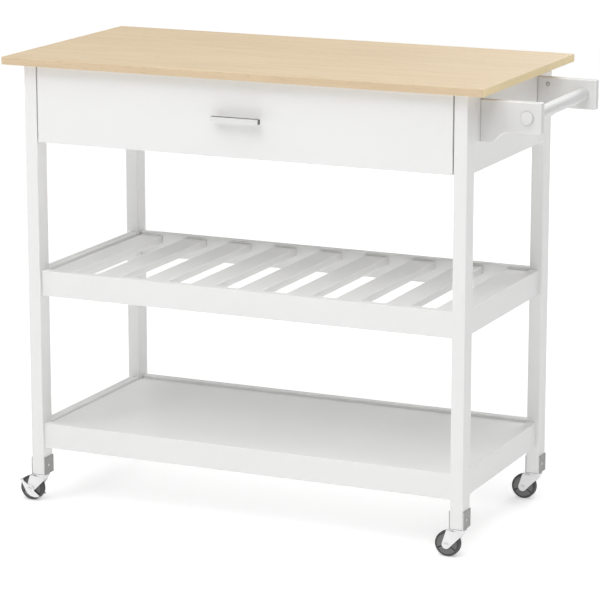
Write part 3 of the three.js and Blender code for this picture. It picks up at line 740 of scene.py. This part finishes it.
# A darker copy of the white paint for the towel rail: painted shade for the shadow under the
# worktop's overhang. Its rounded edges are painted light again, a painted highlight.
rail_paint_painted_shade, place = new_finish("rail_paint_painted_shade")
cloud = noise(place, (9, 9, 9))
spray = noise(place, (620, 620, 620), 2)
edge = edge_wear_and_highlight(place)
paint = between(place, (0.70, 0.70, 0.695), (0.745, 0.745, 0.74), cloud)
lay_finish(
    rail_paint_painted_shade,
    between(place, paint, (0.84, 0.84, 0.83), edge * 0.7),
    0.46 + 0.1 * cloud - 0.06 * edge,
    spray + 0.4 * cloud,
    0.00006,
)

bar_low, bar_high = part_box("towel_bar")
bar_radius = (bar_high.z - bar_low.z) / 2
bar_x = (bar_low.x + bar_high.x) / 2
bar_z = (bar_low.z + bar_high.z) / 2

for side in FRONT_BACK:
    low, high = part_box(f"towel_bracket_{side}")
    inner = high.y if side == "front" else low.y
    outwards = -1 if side == "front" else 1
    arm_low = high.z - ARM_HEIGHT
    cheek = new_shape()
    outline = [
        (low.x, high.z),
        (low.x, low.z),
        (low.x + FOOT_RUN, low.z),
        (low.x + FOOT_RUN + RISE_RUN, arm_low),
        (high.x, arm_low),
        (high.x, high.z),
    ]
    corners = [cheek.verts.new((x, inner, z)) for x, z in outline]
    for start, end in zip(corners, corners[1:] + corners[:1]):
        cheek.edges.new((start, end))
    for corner, bend in ((corners[2], FOOT_BEND), (corners[3], ARM_BEND)):
        bmesh.ops.bevel(
            cheek,
            geom=[corner],
            offset=bend,
            affect="VERTICES",
            segments=7,
            profile=0.5,
            material=-1,
        )
    on_side = Matrix.Rotation(pi / 2, 4, "X")
    nut_at = Vector((low.x + NUT_FROM_PANEL, inner, high.z - NUT_BELOW_TOP))
    bores = (
        (Vector((bar_x, inner, bar_z)), bar_radius + GROOVE_SLACK, 40),
        (nut_at, NUT_HOLE, NUT_HOLE_SIDES),
    )
    for spot, radius, segments in bores:
        bore = bmesh.ops.create_circle(
            cheek,
            cap_ends=False,
            segments=segments,
            radius=radius,
            matrix=Matrix.Translation(spot) @ on_side,
        )
    bmesh.ops.triangle_fill(cheek, use_beauty=True, use_dissolve=False, edges=cheek.edges[:])
    cheek.faces.new(bore["verts"])
    draw_out(cheek, cheek.faces[:], (0, outwards * (high.y - low.y), 0))
    rims = []
    for line in cheek.edges:
        at_bar = max((end.co - bores[0][0]).xz.length for end in line.verts) < bar_radius + 0.001
        if line.calc_face_angle(0) > radians(35) and not at_bar:
            rims.append(line)
    nut_disc = [
        face
        for face in cheek.faces
        if len(face.verts) == NUT_HOLE_SIDES
        and abs(face.calc_center_median().y - inner) < SAME_PLACE
    ]
    push(cheek, nut_disc, (0, outwards * NUT_HOLE_DEPTH, 0))
    bmesh.ops.recalc_face_normals(cheek, faces=cheek.faces)
    round_edges(cheek, rims, BRACKET_EDGE, 4)
    set_in_place(
        cheek, f"rail_cheek_{side}", "frame", rail_paint_painted_shade, "white_paint", f"towel_bracket_{side}"
    )

    nut_low, nut_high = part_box(f"bracket_nut_{side}")
    radius = (nut_high.z - nut_low.z) / 2
    length = nut_high.y - nut_low.y
    face_y = nut_high.y if side == "front" else nut_low.y
    centre = ((nut_low.x + nut_high.x) / 2, face_y, (nut_low.z + nut_high.z) / 2)
    nut = turned(
        [
            (-length, 0),
            (-length, radius * 0.85),
            (-length + radius * 0.15, radius),
            (-radius * 0.15, radius),
            (0, radius * 0.85),
            (0, 0),
        ],
        centre,
        (0, -outwards, 0),
        24,
    )
    set_in_place(
        nut, f"barrel_nut_{side}", "frame", runner_zinc, "bright_zinc", f"bracket_nut_{side}"
    )

half = (bar_high.y - bar_low.y) / 2
rod = turned(
    [
        (-half, 0),
        (-half, bar_radius - BAR_END),
        (-half + BAR_END * 0.12, bar_radius - BAR_END * 0.5),
        (-half + BAR_END * 0.5, bar_radius - BAR_END * 0.12),
        (-half + BAR_END, bar_radius),
        (half - BAR_END, bar_radius),
        (half - BAR_END * 0.5, bar_radius - BAR_END * 0.12),
        (half - BAR_END * 0.12, bar_radius - BAR_END * 0.5),
        (half, bar_radius - BAR_END),
        (half, 0),
    ],
    (bar_x, (bar_low.y + bar_high.y) / 2, bar_z),
    (0, 1, 0),
    48,
)
set_in_place(rod, "towel_rod", "frame", rail_paint_painted_shade, "white_paint", "towel_bar")

# ---------------------------------------------------------------- caster saddles
# A U of dull plated steel round each leg's foot, held by a screw through both cheeks. Below
# it are the pressed ball race and the kingpin that the fork turns on.

SADDLE_STEEL = 0.0015
SADDLE_BEND = 0.0022
SADDLE_HEIGHT = 0.036
SADDLE_SCREW = 0.0029
SCREW_SINK = 0.0044
SINK_DEPTH = 0.0011
RACE_RADIUS = 0.013
RACE_HEIGHT = 0.0036
RACE_LOWER_ROLL = ((0, 0.0024), (0.0004, 0.0012), (0.0009, 0.0003), (0.0016, 0))
RACE_UPPER_ROLL = ((0.0008, 0), (0.0002, 0.0006), (0, 0.0016))
PIN_RADIUS = 0.004
PIN_HEAD = 0.0065
PIN_HEAD_HEIGHT = 0.0014
PIN_HEAD_ROUND = 0.0005

dull_steel, place = new_finish("dull_steel")
spangle = place.node("ShaderNodeTexVoronoi", {}, {"Vector": place, "Scale": 380}, "Color")
grey = spangle.node("ShaderNodeSeparateColor", {}, {0: spangle})
scuff = noise(place, (260, 260, 900), 3, 0.6)
edge = edge_wear_and_highlight(place)
# The cut edges are painted near white and less metallic: a painted highlight along the edges.
lay_finish(
    dull_steel,
    between(
        place,
        between(place, (0.29, 0.29, 0.285), (0.38, 0.38, 0.375), 0.5 * grey + 0.5 * scuff),
        (0.86, 0.86, 0.85),
        edge * 0.9,
    ),
    0.42 + 0.18 * scuff - 0.08 * edge,
    scuff,
    0.00003,
)
metal = 0.6 - 0.55 * edge
shader = dull_steel.node_tree.nodes["Principled BSDF"]
dull_steel.node_tree.links.new(metal.socket, shader.inputs["Metallic"])


def sink_round(shape, face, centre, radius, floor_radius, depth):
    """Sinks a round hole with a floor into one flat face of a shape."""
    into = -depth * face.normal
    turn = Vector((0, 0, 1)).rotation_difference(face.normal).to_matrix().to_4x4()
    rim = face.edges[:]
    bmesh.ops.delete(shape, geom=[face], context="FACES_ONLY")
    ring = bmesh.ops.create_circle(
        shape, cap_ends=True, segments=24, radius=radius, matrix=Matrix.Translation(centre) @ turn
    )
    disc = ring["verts"][0].link_faces[0]
    bmesh.ops.triangle_fill(shape, use_beauty=True, edges=rim + disc.edges[:])
    taper = Matrix.Scale(floor_radius / radius, 4)
    about = Matrix.Translation(-centre - into)
    moved = push(shape, [disc], into)
    bmesh.ops.transform(shape, matrix=about.inverted() @ taper @ about, verts=moved)
    bmesh.ops.recalc_face_normals(shape, faces=shape.faces)


for corner in CORNERS:
    low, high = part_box(f"caster_saddle_{corner}")
    centre = (low + high) / 2
    foot = high.z - SADDLE_HEIGHT
    leg_low, leg_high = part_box(f"leg_{corner}")
    cup = folded_channel(
        [(low.x, high.z), (low.x, foot), (high.x, foot), (high.x, high.z)],
        (0, 2),
        1,
        leg_low.y,
        leg_high.y,
        SADDLE_BEND,
        SADDLE_STEEL,
    )
    # The cut edges facing front and back are marked for that painted highlight.
    wear_and_highlight_layer = cup.faces.layers.float["edge_wear_and_highlight"]
    for face in cup.faces:
        face[wear_and_highlight_layer] = 1.0 if abs(face.normal.y) > 0.7 else 0.0
    for face_x, outwards in ((low.x, -1), (high.x, 1)):
        middle = Vector((face_x, centre.y, (foot + high.z) / 2))
        cheek_face = min(
            (face for face in cup.faces if face.normal.x * outwards > 0.9),
            key=lambda face: (face.calc_center_median() - middle).length,
        )
        sink_round(cup, cheek_face, middle, SCREW_SINK, SADDLE_SCREW, SINK_DEPTH)
    set_in_place(
        cup, f"saddle_cup_{corner}", "frame", dull_steel, "dull_steel", f"caster_saddle_{corner}"
    )
    race_low = foot - RACE_HEIGHT
    rolled = [(race_low + rise, RACE_RADIUS - inset) for rise, inset in RACE_LOWER_ROLL]
    rolled += [(foot - drop, RACE_RADIUS - inset) for drop, inset in RACE_UPPER_ROLL]
    under_leg = (centre.x, centre.y, 0)
    race = turned([(race_low, 0), *rolled, (foot, 0)], under_leg, (0, 0, 1), 40)
    set_in_place(race, f"ball_race_{corner}", "frame", bright_zinc, "bright_zinc")
    pin = turned(
        [
            (low.z, 0),
            (low.z, PIN_HEAD * 0.7),
            (low.z + PIN_HEAD_ROUND, PIN_HEAD),
            (low.z + PIN_HEAD_HEIGHT, PIN_HEAD),
            (low.z + PIN_HEAD_HEIGHT, PIN_RADIUS),
            (race_low, PIN_RADIUS),
            (race_low, 0),
        ],
        under_leg,
        (0, 0, 1),
        24,
    )
    set_in_place(pin, f"kingpin_{corner}", "frame", bright_zinc, "bright_zinc")
    for side, face_x, outwards in (("left", low.x, -1), ("right", high.x, 1)):
        seat = Vector((face_x - outwards * SINK_DEPTH, centre.y, (foot + high.z) / 2))
        screw = screw_head(seat, (outwards, 0, 0), SADDLE_SCREW)
        set_in_place(screw, f"saddle_screw_{corner}_{side}", "frame", bright_zinc, "bright_zinc")

# ---------------------------------------------------------------- caster forks
# One stamping each: a deck under the race with a skirt folded down round the nose and two
# cheeks that taper to the axle. Bright zinc over mild steel.

FORK_STEEL = 0.002
FORK_HALF = 0.0125
FORK_END = 0.0085
FORK_FOLD = 0.002
FORK_REAR_SPARE = 0.001
FORK_CREASE = 0.0105
NOSE_PINCH = 0.0016
END_TRIMS = range(180, 316, 12)
END_FRONT = 318
END_REAR = 167
CUP_HEIGHT = 0.0026
CUP_RADIUS = 0.0142
CUP_RIM = 0.0009
CUP_SEAT = 0.002
CUP_ROUND = 0.0003
CUP_LIP = 0.0002


def around(centre, radius, angle):
    """A place in the plane of the wheel: degrees from +X, turning up through +Z."""
    return centre + radius * Vector((cos(radians(angle)), 0, sin(radians(angle))))


for corner in CORNERS:
    low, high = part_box(f"caster_fork_{corner}")
    wheel_low, wheel_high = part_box(f"caster_wheel_{corner}")
    pivot = (wheel_low + wheel_high) / 2
    saddle_low, saddle_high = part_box(f"caster_saddle_{corner}")
    swivel_x = (saddle_low.x + saddle_high.x) / 2
    deck = high.z - CUP_HEIGHT
    fork = new_shape()
    nose_half = FORK_HALF - NOSE_PINCH
    start = fork.verts.new((swivel_x, pivot.y - nose_half, deck))
    bmesh.ops.spin(
        fork,
        geom=[start],
        cent=(swivel_x, pivot.y, deck),
        axis=(0, 0, 1),
        angle=pi,
        steps=18,
    )
    end = max(fork.verts, key=lambda point: point.co.y)
    rear_x = low.x - FORK_REAR_SPARE
    line_ends = [start]
    for x, y in (
        (swivel_x - FORK_CREASE, pivot.y - FORK_HALF),
        (rear_x, pivot.y - FORK_HALF),
        (rear_x, pivot.y + FORK_HALF),
        (swivel_x - FORK_CREASE, pivot.y + FORK_HALF),
    ):
        line_ends.append(fork.verts.new((x, y, deck)))
    line_ends.append(end)
    rear = None
    for first, second in zip(line_ends, line_ends[1:]):
        line = fork.edges.new((first, second))
        if abs(first.co.x - second.co.x) < SAME_PLACE:
            rear = line
    skirt_lines = [line for line in fork.edges if line != rear]
    bmesh.ops.contextual_create(fork, geom=fork.edges[:])
    dropped = bmesh.ops.extrude_edge_only(fork, edges=skirt_lines)
    moved = [item for item in dropped["geom"] if isinstance(item, bmesh.types.BMVert)]
    bmesh.ops.translate(fork, vec=(0, 0, -deck), verts=moved)
    bmesh.ops.recalc_face_normals(fork, faces=fork.faces)
    # Planes that trim the side view: the round end, the sloping front and the rear edge.
    trims = []
    for angle in END_TRIMS:
        spot = around(pivot, FORK_END, angle)
        trims.append((spot, spot - pivot))
    nose_low = Vector((swivel_x + FORK_HALF, pivot.y, deck - 2 * FORK_STEEL))
    slope = nose_low - around(pivot, FORK_END, END_FRONT)
    trims.append((nose_low, Vector((slope.z, 0, -slope.x))))
    deck_rear = Vector((pivot.x, pivot.y, deck))
    rise = deck_rear - around(pivot, FORK_END, END_REAR)
    trims.append((deck_rear, Vector((-rise.z, 0, rise.x))))
    for spot, facing in trims:
        bmesh.ops.bisect_plane(
            fork,
            geom=fork.verts[:] + fork.edges[:] + fork.faces[:],
            dist=1e-7,
            plane_co=spot,
            plane_no=facing,
            clear_outer=True,
        )
    fold = [
        line
        for line in fork.edges
        if len(line.link_faces) == 2 and line.calc_face_angle(0) > radians(60)
    ]
    bmesh.ops.bevel(
        fork, geom=fold, offset=FORK_FOLD, affect="EDGES", segments=4, profile=0.5, material=-1
    )
    bmesh.ops.solidify(fork, geom=fork.faces[:], thickness=FORK_STEEL)
    bmesh.ops.recalc_face_normals(fork, faces=fork.faces)
    set_in_place(
        fork,
        f"wheel_fork_{corner}",
        f"swivel_{corner}",
        bright_zinc,
        "bright_zinc",
        f"caster_fork_{corner}",
    )
    inside = CUP_RADIUS - CUP_RIM
    in_steel = deck - FORK_STEEL * 0.5
    cup = turned(
        [
            (in_steel, inside - CUP_SEAT),
            (in_steel, CUP_RADIUS - 4 * CUP_ROUND),
            (deck - FORK_STEEL * 0.2, CUP_RADIUS - CUP_ROUND),
            (deck + 2 * CUP_LIP, CUP_RADIUS),
            (high.z - CUP_ROUND, CUP_RADIUS),
            (high.z, CUP_RADIUS - CUP_ROUND),
            (high.z, inside + CUP_LIP),
            (high.z - CUP_LIP, inside),
            (deck + CUP_ROUND, inside),
            (deck + CUP_LIP / 2, inside - CUP_SEAT),
            (in_steel, inside - CUP_SEAT),
        ],
        (swivel_x, pivot.y, 0),
        (0, 0, 1),
        48,
    )
    set_in_place(cup, f"race_cup_{corner}", f"swivel_{corner}", bright_zinc, "bright_zinc")

# ---------------------------------------------------------------- wheels
# A dark grey rubber-like tyre moulded over a lighter grey plastic hub with three thin
# grooves from the boss to the shoulder. It turns on a riveted axle.

TYRE_DEPTH = 0.0044
TYRE_SHOULDER = 0.004
TYRE_SET_BACK = 0.0012
WHEEL_DISH = 0.001
BOSS_RADIUS = 0.007
BOSS_ROUND = 0.0005
AXLE_PLAY = 0.0003
HUB_LIP = 0.0004
AXLE_RADIUS = 0.003
GROOVE_ANGLES = (87, 208, 327)
GROOVE_DEPTH = 0.004
WHEEL_STEPS = 48

tyre_rubber, place = new_finish("tyre_rubber")
grit = noise(place, (900, 900, 900), 2)
dust = noise(place, (90, 90, 90), 3)
lay_finish(
    tyre_rubber,
    between(place, (0.050, 0.050, 0.051), (0.085, 0.084, 0.082), 0.5 * grit + 0.5 * dust),
    0.55 + 0.2 * dust,
    grit,
    0.00006,
)
wheel_grey, place = new_finish("wheel_grey")
grit = noise(place, (1200, 1200, 1200), 2)
flow = noise(place, (70, 70, 70), 3)
edge = edge_wear_and_highlight(place)
# Marked edges are painted lighter as a painted highlight; the hub's turned faces carry no marks.
lay_finish(
    wheel_grey,
    between(place, (0.150, 0.150, 0.148), (0.195, 0.195, 0.19), 0.7 * flow + 0.3 * edge),
    0.38 + 0.16 * flow,
    grit,
    0.00005,
)


def sink_grooves(ring, centre, face_y, inner, outer):
    """Sinks thin radial grooves into both flat faces of a turned ring. Their walls and floors take
    its second finish, the tyre's dark grey, as painted shade deepening the grooves."""
    sunk = {-1: [], 1: []}
    for face in ring.faces:
        spot = face.calc_center_median() - centre
        aside = outer
        for angle in GROOVE_ANGLES:
            lined_up = around(Vector(), 1.0, angle)
            if spot.dot(lined_up) > 0:
                aside = min(aside, abs(spot.cross(lined_up).y))
        reach = Vector((spot.x, spot.z)).length
        on_face = abs(abs(spot.y) - face_y) < 1e-5 and inner < reach < outer
        if on_face and aside < pi * reach / WHEEL_STEPS:
            sunk[1 if spot.y > 0 else -1].append(face)
    for outwards, faces in sunk.items():
        for point in push(ring, faces, (0, -outwards * GROOVE_DEPTH, 0)):
            for face in point.link_faces:
                face.material_index = 1
    bmesh.ops.recalc_face_normals(ring, faces=ring.faces)


for corner in CORNERS:
    low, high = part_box(f"caster_wheel_{corner}")
    centre = (low + high) / 2
    radius = (high.z - low.z) / 2
    hub_half = (high.y - low.y) / 2
    half = hub_half - TYRE_SET_BACK
    rim = radius - TYRE_DEPTH
    soft = TYRE_SHOULDER * 0.3
    side_profile = [
        (half, rim),
        (half, radius - TYRE_SHOULDER),
        (half - soft * 0.25, radius - TYRE_SHOULDER * 0.62),
        (half - soft, radius - soft),
        (half - TYRE_SHOULDER * 0.62, radius - soft * 0.25),
        (half - TYRE_SHOULDER, radius),
    ]
    mirrored = [(-height, reach) for height, reach in reversed(side_profile)]
    profile = side_profile + mirrored + side_profile[:1]
    tyre = turned(profile, centre, (0, 1, 0), WHEEL_STEPS)
    set_in_place(
        tyre,
        f"tyre_{corner}",
        f"wheel_{corner}",
        tyre_rubber,
        "wheel_grey",
        f"caster_wheel_{corner}",
    )
    web = half - WHEEL_DISH
    hub_profile = [
        (hub_half, AXLE_RADIUS + AXLE_PLAY),
        (hub_half, BOSS_RADIUS - BOSS_ROUND),
        (hub_half - BOSS_ROUND, BOSS_RADIUS),
        (web, BOSS_RADIUS + 0.0003),
        (web, rim - 0.0006),
        (half - HUB_LIP, rim - 0.0001),
    ]
    mirrored = [(-height, reach) for height, reach in reversed(hub_profile)]
    hub = turned(hub_profile + mirrored + hub_profile[:1], centre, (0, 1, 0), WHEEL_STEPS)
    sink_grooves(hub, centre, web, BOSS_RADIUS, rim)
    hub_piece = set_in_place(
        hub, f"wheel_hub_{corner}", f"wheel_{corner}", wheel_grey, "wheel_grey"
    )
    # The tyre's dark finish, used in the grooves as painted shade.
    hub_piece.data.materials.append(tyre_rubber)

# ---------------------------------------------------------------- axles and brakes
# Riveted axles with domed heads. On the left casters a stamped lever sits outside the fork,
# and its pedal strip presses on the tread.

RIVET_HEAD = 0.0022
RIVET_DOME = ((0, 0), (0.0002, 0.45), (0.0008, 0.8), (0.0015, 0.97), (RIVET_HEAD, 1.0))
BRAKE_STEEL = 0.0015
PEDAL_GAP = 0.0006
PEDAL_START = 135.5
PEDAL_END = 144.5
PEDAL_PARTS = 4
LEVER_ROUND = 0.0004
LEVER_EDGE = [
    (0.0223, 147), (0.0132, 171), (0.0112, 213), (0.0123, 243), (0.0150, 273), (0.0200, 300),
    (0.0255, 322), (0.0250, 328), (0.0122, 334), (0.0096, 342), (0.0085, 5), (0.0085, 35),
    (0.0085, 65), (0.0085, 95), (0.0086, 114), (0.0110, 124),
]

for corner in CORNERS:
    low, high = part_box(f"caster_axle_{corner}")
    centre = (low + high) / 2
    half = (high.y - low.y) / 2
    head = (high.z - low.z) / 2
    side_profile = [(half - drop, head * share) for drop, share in RIVET_DOME]
    side_profile.append((half - RIVET_HEAD, AXLE_RADIUS))
    mirrored = [(-height, reach) for height, reach in reversed(side_profile)]
    axle = turned(side_profile + mirrored, centre, (0, 1, 0), 32)
    set_in_place(
        axle,
        f"axle_rivet_{corner}",
        f"swivel_{corner}",
        bright_zinc,
        "bright_zinc",
        f"caster_axle_{corner}",
    )

for corner in ("front_left", "back_left"):
    low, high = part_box(f"caster_brake_{corner}")
    wheel_low, wheel_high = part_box(f"caster_wheel_{corner}")
    pivot = (wheel_low + wheel_high) / 2
    tread = (wheel_high.z - wheel_low.z) / 2
    pedal = tread + PEDAL_GAP
    lever = new_shape()
    outline = [(pedal + BRAKE_STEEL, PEDAL_START), (pedal + BRAKE_STEEL, PEDAL_END), *LEVER_EDGE]
    for face_y, outwards in ((low.y, 1), (high.y, -1)):
        corners = []
        for reach, angle in outline:
            spot = around(pivot, reach, angle)
            corners.append(lever.verts.new((spot.x, face_y, spot.z)))
        draw_out(lever, [lever.faces.new(corners)], (0, outwards * BRAKE_STEEL, 0))
    bmesh.ops.recalc_face_normals(lever, faces=lever.faces)
    rims = [line for line in lever.edges if line.calc_face_angle(0) > radians(60)]
    round_edges(lever, rims, LEVER_ROUND, 2)
    set_in_place(
        lever,
        f"brake_lever_{corner}",
        f"brake_{corner}",
        bright_zinc,
        "bright_zinc",
        f"caster_brake_{corner}",
    )
    turns = []
    for part in range(PEDAL_PARTS + 1):
        turns.append(PEDAL_START + (PEDAL_END - PEDAL_START) * part / PEDAL_PARTS)
    arc = [around(pivot, pedal + BRAKE_STEEL, angle) for angle in turns]
    arc += [around(pivot, pedal, angle) for angle in reversed(turns)]
    strip = milled_bar([(spot.x, spot.z) for spot in arc], (0, 2), 1, low.y, high.y)
    set_in_place(strip, f"brake_pedal_{corner}", f"brake_{corner}", bright_zinc, "bright_zinc")

# ---------------------------------------------------------------- studio
# A plain white floor, large soft lights high at the front and a camera a little above the
# worktop, looking at the drawer side and the towel bar.

FLOOR_SIZE = 80
GLOW_FROM = 2.0
GLOW_FULL = 8.0
LIT_PLACE = (0, 0, 0.45)
ROOM_LIGHT = 0.25
CAMERA_PLACE = (2.314, -5.134, 1.707)
CAMERA_AZIMUTH = radians(24.41)
CAMERA_DOWN = radians(12.81)
CAMERA_LENS = 175.4
CAMERA_SENSOR = 36

bpy.ops.mesh.primitive_plane_add(size=FLOOR_SIZE)
floor = bpy.context.object
floor.name = "studio_floor"
floor_white, place = new_finish("floor_white")
cloud = noise(place, (0.4, 0.4, 0.4))
lay_finish(
    floor_white,
    between(place, (0.88, 0.88, 0.88), (0.90, 0.90, 0.90), cloud),
    0.7 + 0.1 * cloud,
    cloud,
    0.0001,
    emission_strength=1.0,
)
reach = place.node("ShaderNodeVectorMath", {"operation": "LENGTH"}, {0: place}, 1)
far = step(place, reach, GLOW_FROM, GLOW_FULL)
glow = between(place, (0.35, 0.35, 0.35), (0.78, 0.78, 0.78), far)
shader = floor_white.node_tree.nodes["Principled BSDF"]
floor_white.node_tree.links.new(glow.socket, shader.inputs["Emission Color"])
floor.data.materials.append(floor_white)


def soft_light(name, place, size, power, aim=LIT_PLACE):
    """A square soft box that hangs at a place and faces its aim, its power in watts."""
    light = bpy.data.lights.new(name, "AREA")
    light.size, light.energy = size, power
    lamp = bpy.data.objects.new(name, light)
    bpy.context.scene.collection.objects.link(lamp)
    lamp.location = place
    lamp.rotation_euler = (Vector(aim) - Vector(place)).to_track_quat("-Z", "Y").to_euler()


soft_light("key_light", (-1.2, -2.6, 4.6), 3.2, 75)
soft_light("front_light", (0.8, -3.4, 4.0), 3.0, 59)
soft_light("end_light", (2.1, -0.4, 4.4), 2.2, 25)
soft_light("left_light", (-4.5, -1.0, 2.2), 3.0, 24)
soft_light("back_light", (0.5, 4.5, 2.8), 3.0, 88)
soft_light("top_light", (0, 0, 4.6), 4.0, 30, aim=(0, 0, 0))

world = bpy.data.worlds.new("studio")
bpy.context.scene.world = world
world.use_nodes = True
sky = world.node_tree.nodes["Background"]
sky.inputs["Color"].default_value = (1, 1, 1, 1)
sky.inputs["Strength"].default_value = ROOM_LIGHT
bpy.context.scene.view_settings.view_transform = "Standard"

camera = bpy.data.objects.new("camera", bpy.data.cameras.new("camera"))
camera.data.lens = CAMERA_LENS
camera.data.sensor_width = CAMERA_SENSOR
camera.location = CAMERA_PLACE
camera.rotation_euler = (pi / 2 - CAMERA_DOWN, 0, CAMERA_AZIMUTH)
bpy.context.scene.collection.objects.link(camera)
bpy.context.scene.camera = camera

bpy.context.view_layer.update()
